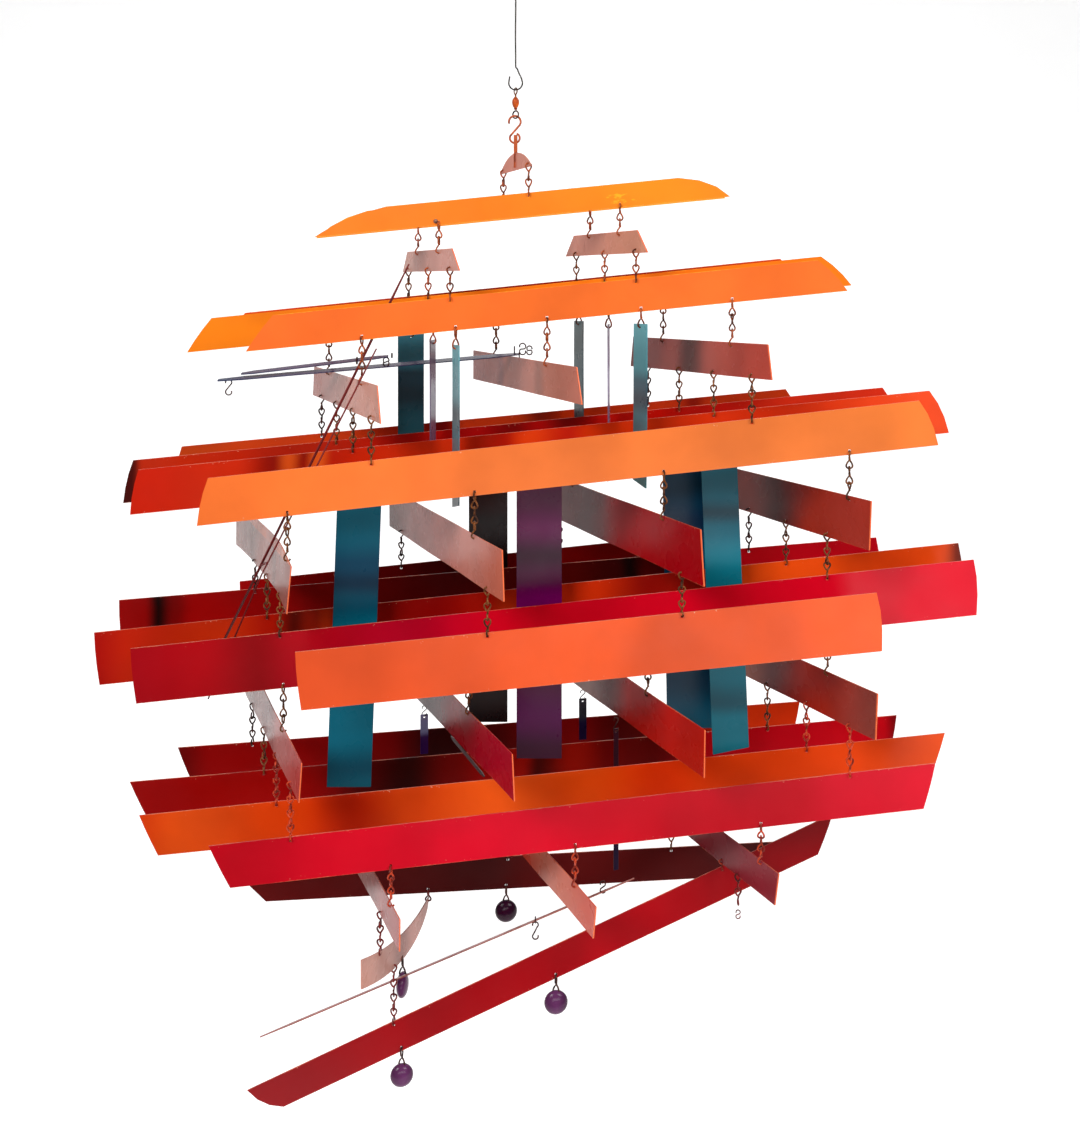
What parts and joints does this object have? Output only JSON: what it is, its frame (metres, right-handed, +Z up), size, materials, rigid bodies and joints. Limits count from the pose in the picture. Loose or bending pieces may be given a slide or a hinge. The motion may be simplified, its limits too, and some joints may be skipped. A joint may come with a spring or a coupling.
{
  "type": "hanging mobile sculpture",
  "caption": "Hanging mobile of long painted sheet-metal plates in red and orange tiers, with cross plates, strips and pendants on jack chain.",
  "frame": {"origin": "top of the eye that the mobile hangs from", "axes": "+Z up, along the hanging wire; the long plates run along X; -Y is the front"},
  "size_m": [1.271, 0.4986, 1.6235],
  "materials": {
    "orange_paint": "gloss",
    "deep_orange_paint": "gloss",
    "red_orange_paint": "gloss",
    "red_paint": "gloss",
    "crimson_paint": "gloss",
    "dark_red_paint": "gloss",
    "copper_paint": "gloss",
    "rust_paint": "gloss",
    "teal_paint": "gloss",
    "blue_paint": "gloss",
    "purple_paint": "gloss",
    "black_paint": "gloss",
    "navy_paint": "gloss",
    "plum_paint": "gloss",
    "dark_steel": "satin"
  },
  "bodies": {
    "top": {"top_hook": "dark_steel", "swivel_upper_eye": "dark_steel"},
    "mobile": {"curved_blade": "copper_paint", "fourth_left_spreader": "copper_paint", "fourth_middle_left_spreader": "rust_paint", "fourth_middle_right_spreader": "rust_paint", "fourth_right_spreader": "rust_paint", "hanger_with_strap": "copper_paint", "loose_blue_blades": "navy_paint", "loose_dark_red_blades": "dark_red_paint", "lower_left_spreader": "rust_paint", "lower_middle_spreader": "rust_paint", "lower_right_spreader": "rust_paint", "middle_black_strip": "black_paint", "middle_blue_strip": "blue_paint", "middle_purple_strip": "purple_paint", "middle_teal_strip_left": "teal_paint", "middle_teal_strip_right": "teal_paint", "pendant_on_back_plate": "plum_paint", "pendant_on_curved_blade": "plum_paint", "pendant_on_steep_plate_left": "plum_paint", "pendant_on_steep_plate_right": "plum_paint", "s_hook": "copper_paint", "second_left_spreader": "copper_paint", "second_middle_spreader": "copper_paint", "second_right_spreader": "copper_paint", "swivel_barrel": "orange_paint", "thin_lower_blade": "copper_paint", "third_left_spreader": "copper_paint", "third_middle_left_spreader": "copper_paint", "third_middle_right_spreader": "rust_paint", "third_right_spreader": "rust_paint", "tier_five_back_plate": "dark_red_paint", "tier_five_front_plate": "crimson_paint", "tier_five_second_plate": "crimson_paint", "tier_five_third_plate": "red_orange_paint", "tier_four_back_plate": "dark_red_paint", "tier_four_fourth_plate": "crimson_paint", "tier_four_front_plate": "deep_orange_paint", "tier_four_middle_plate": "red_orange_paint", "tier_four_second_plate": "dark_red_paint", "tier_one_back_plate": "orange_paint", "tier_one_front_plate": "orange_paint", "tier_six_back_plate": "dark_red_paint", "tier_six_steep_plate": "dark_red_paint", "tier_three_back_plate": "red_paint", "tier_three_front_plate": "deep_orange_paint", "tier_three_second_plate": "red_paint", "tier_three_third_plate": "red_orange_paint", "tier_two_back_plate": "red_orange_paint", "tier_two_front_plate": "deep_orange_paint", "tier_two_middle_plate": "orange_paint", "upper_left_spreader": "copper_paint", "upper_purple_strip_left": "purple_paint", "upper_purple_strip_right": "purple_paint", "upper_right_spreader": "copper_paint", "upper_teal_strip_left_back": "teal_paint", "upper_teal_strip_left_front": "teal_paint", "upper_teal_strip_right_back": "teal_paint", "upper_teal_strip_right_front": "teal_paint"}
  },
  "joints": [
    {"name": "swivel", "type": "hinge", "parent": "top", "child": "mobile", "pos_m": [0, 0, -0.181], "axis": [0, 0, 1], "continuous": true}
  ]
}
